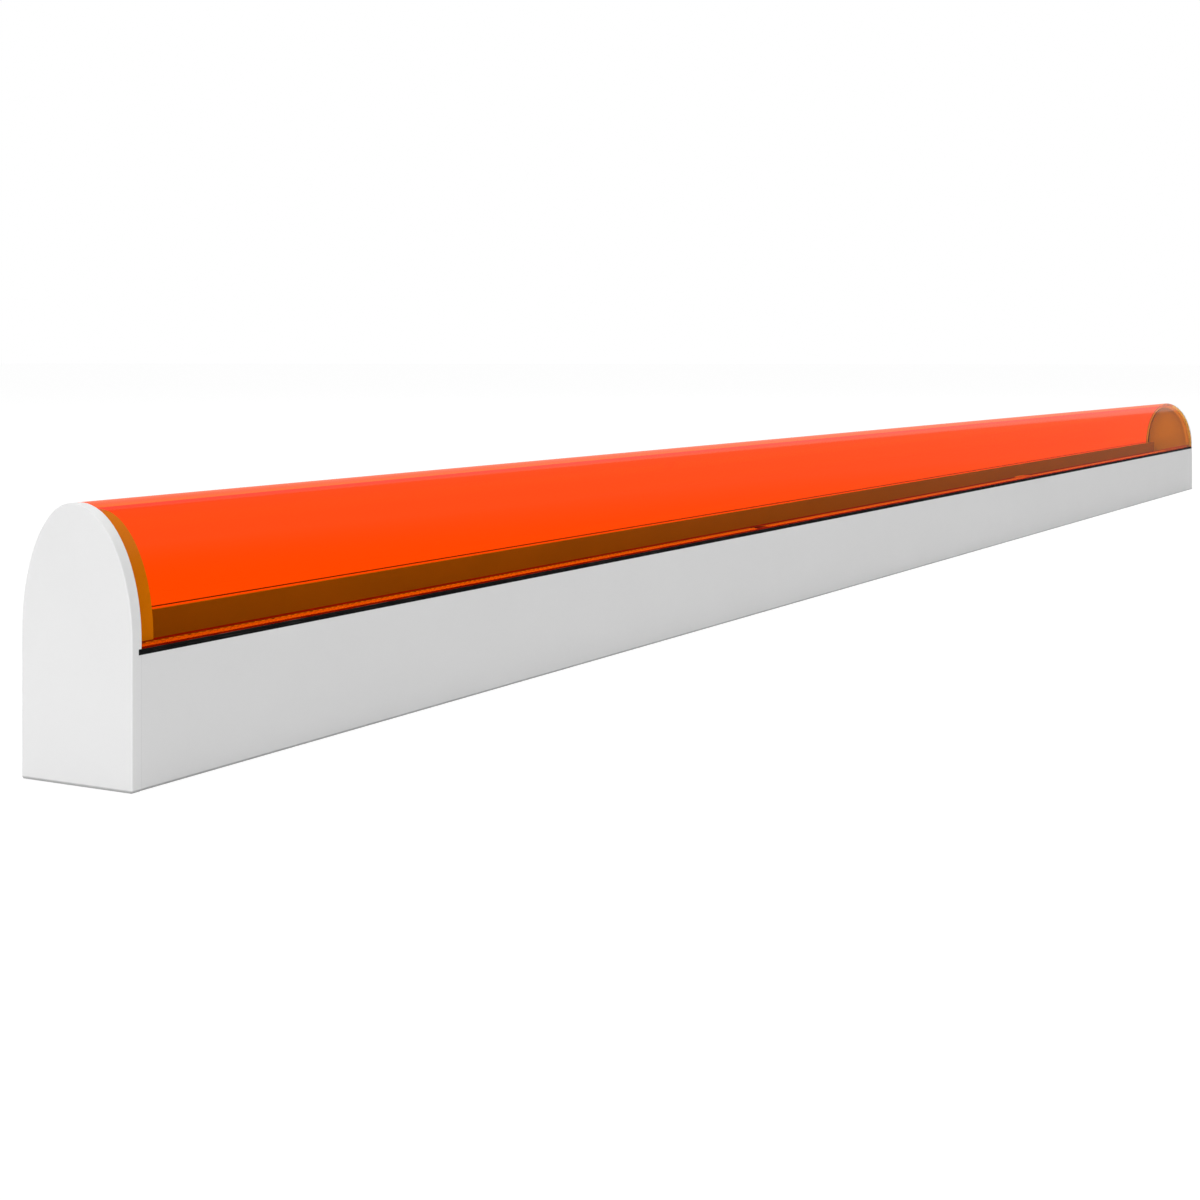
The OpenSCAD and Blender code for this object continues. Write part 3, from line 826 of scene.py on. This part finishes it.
def joined(name, meshes):
    """Joins several meshes, each with its own material, into one."""
    shape = bmesh.new()
    materials = []
    for mesh in meshes:
        first = len(shape.faces)
        shape.from_mesh(mesh)
        shape.faces.ensure_lookup_table()
        materials.append(mesh.materials[0])
        for face in shape.faces[first:]:
            face.material_index = len(materials) - 1
    result = to_mesh(shape, name)
    for material in materials:
        result.materials.append(material)
    for mesh in meshes:
        bpy.data.meshes.remove(mesh)
    return result


# ---------------------------------------------------------------- outlines


def arch_points(settings, inset):
    """The arch from the back springing point over the crown to the front one."""
    points = []
    rise = LENS_HIGH.z - settings.spring_height - inset
    for i in range(settings.arch_flats + 1):
        turn = math.pi * i / settings.arch_flats
        reach = HALF_WIDTH - settings.crown_back if turn < math.pi / 2 else HALF_WIDTH + settings.crown_back
        y = settings.crown_back + (reach - inset) * math.cos(turn)
        points.append((y, settings.spring_height + rise * math.sin(turn)))
    return points


def lens_points(settings):
    """The lens's outline: outside over the top, then the front foot, inside and back foot."""
    low = LENS_LOW.z
    edge = HALF_WIDTH
    foot = edge - settings.foot_width
    wall = edge - settings.lens_wall
    top = low + settings.foot_height
    outside = [(edge, low), *arch_points(settings, 0), (-edge, low)]
    front = [(-foot, low), (-foot, top), (-wall, top)]
    inside = arch_points(settings, settings.lens_wall)[::-1]
    back = [(wall, top), (foot, top), (foot, low)]
    return outside + front + inside + back


def line_points(settings):
    """The outline of the thin dark line along the inside of the lens's back wall."""
    y = HALF_WIDTH - settings.lens_wall
    z = settings.line_height
    return [(y - 0.02 * MM, z), (y - 0.14 * MM, z + 0.05 * MM), (y - 0.14 * MM, z + 0.3 * MM),
            (y - 0.02 * MM, z + 0.35 * MM)]


def strip_points(side):
    """A seal strip's outline: two soft beads above and a grooved outer face."""
    low, high = STRIP_LOW, STRIP_HIGH
    width, height = high.y - low.y, high.z - low.z
    points = [(high.y, low.z), (high.y, low.z + 0.35 * height), (high.y - 0.25 * MM, low.z + 0.5 * height),
              (high.y, low.z + 0.65 * height)]
    beads = 12
    for i in range(beads + 1):
        part = i / beads
        dip = 0.18 * MM * (0.5 - 0.5 * math.cos(4 * math.pi * part))
        points.append((high.y - width * part, high.z - (0.18 * MM - dip)))
    points.append((low.y, low.z))
    return [(side * y, z) for y, z in points]


# ---------------------------------------------------------------- pieces


class LIGHTBAR_OT_stage(Operator):
    """Sets the camera, the pale floor and the soft lights"""

    bl_idname = "lightbar.stage"
    bl_label = "Stage"

    def execute(self, context):
        settings = context.scene.bar_stage
        set_camera(context.scene, settings)
        make_floor()
        make_room(context.scene, settings)
        softbox("overhead", (0.5, 0.2, 2.8), (0.5, 0.0, 0.0), (6.5, 3.5), settings.overhead_power)
        softbox("left_end", (-5.0, -0.6, 1.6), (0.0, 0.0, 0.0), (3.0, 2.4), settings.left_power)
        return {"FINISHED"}


def set_camera(scene, settings):
    """A level camera near the left end, looking along the bar."""
    data = bpy.data.cameras.new("camera")
    data.lens = settings.camera_lens
    data.sensor_width = 36.0
    data.shift_y = settings.camera_shift
    camera = bpy.data.objects.new("camera", data)
    camera.location = settings.camera_place
    camera.rotation_euler = (math.pi / 2, 0, settings.camera_heading - math.pi / 2)
    scene.collection.objects.link(camera)
    scene.camera = camera


def make_floor():
    """A wide pale floor under the bar, clear from below so that the underside can be seen."""
    shape = bmesh.new()
    bmesh.ops.create_grid(shape, x_segments=2, y_segments=2, size=FLOOR_HALF)
    bmesh.ops.translate(shape, verts=shape.verts, vec=(0, 0, -FLOOR_GAP))
    floor = add_piece("floor", to_mesh(shape, "floor"))
    material, tree, shader = blank_material("floor_pale")
    mask = effect(tree, "Mottle", Scale=3.0)
    tree.links.new(mix_colours(tree, mask, (0.92, 0.92, 0.92), (0.94, 0.94, 0.94)),
                   shader.inputs["Base Color"])
    shader.inputs["Roughness"].default_value = 0.9
    glow = add(tree, "ShaderNodeEmission", Color=(1, 1, 1, 1), Strength=1.07)
    path = tree.nodes.new("ShaderNodeLightPath")
    share = math_node(tree, "MULTIPLY", path.outputs["Is Camera Ray"], 0.88)
    pale = mix_shaders(tree, share, shader.outputs[0], glow.outputs[0])
    side = tree.nodes.new("ShaderNodeNewGeometry")
    below = math_node(tree, "MULTIPLY", side.outputs["Backfacing"], path.outputs["Is Camera Ray"])
    touching = math_node(tree, "LESS_THAN", path.outputs["Ray Length"], 5 * FLOOR_GAP)
    clear = add(tree, "ShaderNodeBsdfTransparent", Color=(1, 1, 1, 1))
    seen = mix_shaders(tree, math_node(tree, "MAXIMUM", below, touching), pale, clear.outputs[0])
    tree.links.new(seen, tree.nodes["Material Output"].inputs["Surface"])
    floor.data.materials.append(material)
    floor.visible_glossy = False


def make_room(scene, settings):
    """A white backdrop with a soft room: bright behind the bar, dim in front, and a key light."""
    world = bpy.data.worlds.new("room")
    world.use_nodes = True
    tree = world.node_tree
    back = tree.nodes["Background"]
    path = tree.nodes.new("ShaderNodeLightPath")
    place = tree.nodes.new("ShaderNodeTexCoord")
    way = place.outputs["Generated"]
    rise = math_node(tree, "POWER", spread(tree, dot_product(tree, way, FRONT_LEAN), -0.32, 0.1), 2.0)
    front = spread(tree, rise, 0, 1, 0.004, 0.21)
    behind = spread(tree, dot_product(tree, way, BACKDROP_EDGE), -0.01, 0.015, 0.0, 0.4)
    key = spread(tree, dot_product(tree, way, KEY_FROM), 0.86, 0.96, 0.0, 9.0)
    gloss = math_node(tree, "ADD", math_node(tree, "ADD", front, key), behind)
    left = math_node(tree, "MAXIMUM", dot_product(tree, way, (-1.0, 0.0, 0.0)), 0.0)
    soft = math_node(tree, "MULTIPLY_ADD", left, settings.room_left, settings.room_light)
    level = mix_values(tree, path.outputs["Is Glossy Ray"], soft, gloss)
    seen = path.outputs["Is Camera Ray"]
    unseen = math_node(tree, "SUBTRACT", 1.0, seen)
    total = math_node(tree, "MULTIPLY_ADD", level, unseen, seen)
    tree.links.new(total, back.inputs["Strength"])
    back.inputs["Color"].default_value = (1, 1, 1, 1)
    scene.world = world
    scene.view_settings.view_transform = "Standard"


def softbox(name, place, aim, size, power):
    """A rectangular soft light that isn't seen in the gloss."""
    data = bpy.data.lights.new(name, "AREA")
    data.shape = "RECTANGLE"
    data.size, data.size_y = size
    data.energy = power
    light = bpy.data.objects.new(name, data)
    light.location = place
    light.rotation_mode = "QUATERNION"
    light.rotation_quaternion = (Vector(aim) - Vector(place)).to_track_quat("-Z", "Y")
    light.visible_glossy = False
    light.visible_camera = False
    bpy.context.scene.collection.objects.link(light)


class LIGHTBAR_OT_channel(Operator):
    """Makes the coated channel with its long edges eased"""

    bl_idname = "lightbar.channel"
    bl_label = "Channel"

    def execute(self, context):
        settings = context.scene.bar_sizes
        shape = merged_copy("base_channel")
        long_edges = [
            e for e in shape.edges
            if abs(e.verts[0].co.x - e.verts[1].co.x) > BAR_LENGTH / 2
            and max(v.co.z for v in e.verts) < 1 * MM
        ]
        round_edges(shape, long_edges, settings.channel_edge, 3)
        piece = add_piece("channel", to_mesh(shape, "channel"))
        dress(piece, channel_paint)
        settle(piece, ["base_channel"])
        return {"FINISHED"}


class LIGHTBAR_OT_lens(Operator):
    """Makes the orange lens as a smooth extrusion"""

    bl_idname = "lightbar.lens"
    bl_label = "Lens"

    def execute(self, context):
        settings = context.scene.bar_sizes
        outline = flat_outline(lens_points(settings), LENS_LOW.x)
        mesh = grown_mesh("Extrusion", outline, Length=LENS_HIGH.x - LENS_LOW.x,
                          Material=finish(lens_acrylic))
        dress(mesh, lens_acrylic, lens_inside)
        middle = Vector((0, settings.crown_back, settings.spring_height))
        for face in mesh.polygons:
            out = face.center - middle
            face.material_index = int(face.normal.y * out.y + face.normal.z * out.z < -0.1 * MM)
        piece = add_piece("lens_shell", mesh)
        piece.visible_shadow = False
        piece.visible_diffuse = False
        settle(piece, ["lens"])
        line = flat_outline(line_points(settings), LENS_LOW.x)
        mesh = grown_mesh("Extrusion", line, Length=LENS_HIGH.x - LENS_LOW.x,
                          Material=finish(black_rubber))
        settle(add_piece("lens_line", mesh), [])
        return {"FINISHED"}


class LIGHTBAR_OT_seal_strips(Operator):
    """Makes the two black seal strips under the lens"""

    bl_idname = "lightbar.seal_strips"
    bl_label = "Seal Strips"

    def execute(self, context):
        for side, node in ((-1, "seal_strip_front"), (1, "seal_strip_back")):
            outline = flat_outline(strip_points(side), STRIP_LOW.x)
            mesh = grown_mesh("Extrusion", outline, Length=STRIP_HIGH.x - STRIP_LOW.x,
                              Material=finish(black_rubber))
            settle(add_piece(f"{node}_rubber", mesh), [node])
        return {"FINISHED"}


class LIGHTBAR_OT_end_caps(Operator):
    """Makes the end caps with rounded outer edges"""

    bl_idname = "lightbar.end_caps"
    bl_label = "End Caps"

    def execute(self, context):
        settings = context.scene.bar_sizes
        for node in ("end_cap_left", "end_cap_right"):
            shape = merged_copy(node)
            outer = max(abs(v.co.x) for v in shape.verts) - 0.01 * MM
            rim = [e for e in shape.edges if all(abs(v.co.x) > outer for v in e.verts)]
            round_edges(shape, rim, settings.cap_edge, 5)
            piece = add_piece(f"{node}_moulded", to_mesh(shape, node))
            dress(piece, cap_plastic)
            settle(piece, [node])
        return {"FINISHED"}


class LIGHTBAR_OT_end_seals(Operator):
    """Finishes the foam seals between the caps and the bar"""

    bl_idname = "lightbar.end_seals"
    bl_label = "End Seals"

    def execute(self, context):
        for side in ("left", "right"):
            for part in ("lens", "channel"):
                finished_node(f"{part}_end_seal_{side}", end_foam)
        return {"FINISHED"}


class LIGHTBAR_OT_tray(Operator):
    """Finishes the gear tray and its screws"""

    bl_idname = "lightbar.tray"
    bl_label = "Gear Tray"

    def execute(self, context):
        finished_node("gear_tray", tray_coat)
        finished_node("tray_screws", zinc_steel, 0.12 * MM)
        finished_node("feed_grommet", black_rubber, 0.15 * MM)
        return {"FINISHED"}


class LIGHTBAR_OT_boards(Operator):
    """Makes the light boards with their pads and resistors"""

    bl_idname = "lightbar.boards"
    bl_label = "Light Boards"

    def execute(self, context):
        pitch = context.scene.bar_sizes.chip_pitch
        for i in BOARDS:
            finished_node(f"thermal_tape_{i}", thermal_pad)
            finished_node(f"led_board_{i}", solder_mask_white, 0.1 * MM)
            low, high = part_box(f"led_chips_{i}")
            count = round((high.x - low.x) / pitch)
            pad = Vector((1.0, 0.6, 0.06)) * MM
            rows = []
            for side in (-1, 1):
                first = Vector((low.x + 0.9 * pitch, side * 2.2 * MM, low.z + pad.z / 2))
                rows.append(grown_mesh("Block Row", empty_mesh(), Count=count - 1, Pitch=pitch,
                                       First=first, Size=pad, Top=0.9, Material=finish(tinned_pad)))
            settle(add_piece(f"pads_{i}", joined("pads", rows)), [])
            size = Vector((1.6, 0.8, 0.4)) * MM
            first = Vector((low.x + 3 * pitch, 3.2 * MM, low.z + size.z / 2))
            mesh = grown_mesh("Block Row", empty_mesh(), Count=count // 6, Pitch=6 * pitch,
                              First=first, Size=size, Top=0.94, Material=finish(resistor_black))
            settle(add_piece(f"resistors_{i}", mesh), [])
        finished_node("board_link", resistor_black, 0.15 * MM)
        finished_node("feed_connector", nylon_white, 0.2 * MM)
        return {"FINISHED"}


def empty_mesh():
    return bpy.data.meshes.new("start")


class LIGHTBAR_OT_chips(Operator):
    """Makes the rows of light chips, each a tapered body with a round amber dome"""

    bl_idname = "lightbar.chips"
    bl_label = "Light Chips"

    def execute(self, context):
        pitch = context.scene.bar_sizes.chip_pitch
        for i in BOARDS:
            low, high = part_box(f"led_chips_{i}")
            count = round((high.x - low.x - CHIP_LENGTH) / pitch) + 1
            body = Vector((CHIP_LENGTH, high.y - low.y, high.z - low.z - CHIP_DOME.z))
            first = Vector((low.x + CHIP_LENGTH / 2, 0, low.z + body.z / 2))
            bodies = grown_mesh("Block Row", empty_mesh(), Count=count, Pitch=pitch, First=first,
                                Size=body, Top=0.9, Material=finish(chip_body))
            domes = grown_mesh("Disc Row", empty_mesh(), Count=count, Pitch=pitch,
                               First=Vector((first.x, 0, high.z - CHIP_DOME.z)), Radius=CHIP_DOME.x,
                               Height=CHIP_DOME.z, Material=finish(chip_phosphor))
            piece = add_piece(f"chips_{i}", joined("chips", [bodies, domes]))
            settle(piece, [f"led_chips_{i}"])
        return {"FINISHED"}


class LIGHTBAR_OT_driver(Operator):
    """Finishes the driver and gives its case its cooling ribs"""

    bl_idname = "lightbar.driver"
    bl_label = "Driver"

    def execute(self, context):
        finished_node("driver_case", driver_grey, 0.3 * MM)
        finished_node("driver_lid", lid_grey, 0.3 * MM)
        finished_node("driver_board", circuit_green, 0.2 * MM)
        finished_node("driver_screws", zinc_steel)
        low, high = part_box("driver_case")
        rib = Vector((1.6, 0.5, 12.0)) * MM
        pitch = 4 * MM
        count = int((high.x - low.x - 24 * MM) / pitch)
        rows = []
        for y in (low.y - rib.y / 2, high.y + rib.y / 2):
            first = Vector((low.x + 14 * MM, y, (low.z + high.z) / 2))
            rows.append(grown_mesh("Block Row", empty_mesh(), Count=count, Pitch=pitch, First=first,
                                   Size=rib, Top=0.9, Material=finish(driver_grey)))
        settle(add_piece("driver_ribs", joined("ribs", rows)), [])
        return {"FINISHED"}


class LIGHTBAR_OT_wiring(Operator):
    """Finishes the terminals and the wires"""

    bl_idname = "lightbar.wiring"
    bl_label = "Wiring"

    def execute(self, context):
        finished_node("terminal_block", nylon_white, 0.25 * MM)
        finished_node("terminal_screws", zinc_steel)
        finished_node("live_wire", wire_brown)
        finished_node("neutral_wire", wire_blue)
        finished_node("earth_wire", wire_green)
        finished_node("feed_wire_positive", wire_red)
        finished_node("feed_wire_negative", wire_black)
        return {"FINISHED"}


class LIGHTBAR_OT_floor_fittings(Operator):
    """Finishes what sits in the channel's floor"""

    bl_idname = "lightbar.floor_fittings"
    bl_label = "Floor Fittings"

    def execute(self, context):
        finished_node("cap_screws", zinc_steel)
        finished_node("earth_stud", turned_brass, 0.2 * MM)
        finished_node("earth_tag", zinc_steel)
        finished_node("earth_nut", turned_brass, 0.15 * MM)
        finished_node("cable_grommet", black_rubber, 0.25 * MM)
        finished_node("cable_clamp", nylon_white)
        finished_node("clamp_screws", zinc_steel, 0.12 * MM)
        finished_node("mount_bushes", black_rubber, 0.25 * MM)
        finished_node("vent_plug", lid_grey)
        return {"FINISHED"}


class LIGHTBAR_PT_panel(Panel):
    """Lists the steps that finish the light bar."""

    bl_idname = "LIGHTBAR_PT_panel"
    bl_label = "Light Bar"
    bl_space_type = "VIEW_3D"
    bl_region_type = "UI"
    bl_category = "Light Bar"

    def draw(self, context):
        for step in STEPS:
            self.layout.operator(step.bl_idname)
        for group in (context.scene.bar_sizes, context.scene.bar_finish, context.scene.bar_stage):
            box = self.layout.box()
            for name in group.bl_rna.properties.keys():
                if name not in ("rna_type", "name"):
                    box.prop(group, name)


STEPS = (
    LIGHTBAR_OT_stage,
    LIGHTBAR_OT_channel,
    LIGHTBAR_OT_lens,
    LIGHTBAR_OT_seal_strips,
    LIGHTBAR_OT_end_caps,
    LIGHTBAR_OT_end_seals,
    LIGHTBAR_OT_tray,
    LIGHTBAR_OT_boards,
    LIGHTBAR_OT_chips,
    LIGHTBAR_OT_driver,
    LIGHTBAR_OT_wiring,
    LIGHTBAR_OT_floor_fittings,
)
SETTINGS = {"bar_sizes": BarSettings, "bar_finish": FinishSettings, "bar_stage": StageSettings}


def register():
    for cls in (*SETTINGS.values(), *STEPS, LIGHTBAR_PT_panel):
        bpy.utils.register_class(cls)
    for name, cls in SETTINGS.items():
        setattr(bpy.types.Scene, name, PointerProperty(type=cls))


def unregister():
    for name in SETTINGS:
        delattr(bpy.types.Scene, name)
    for cls in (LIGHTBAR_PT_panel, *reversed(STEPS), *reversed(SETTINGS.values())):
        bpy.utils.unregister_class(cls)


def main():
    register()
    for step in STEPS:
        group, name = step.bl_idname.split(".")
        getattr(getattr(bpy.ops, group), name)()


if __name__ == "__main__":
    main()
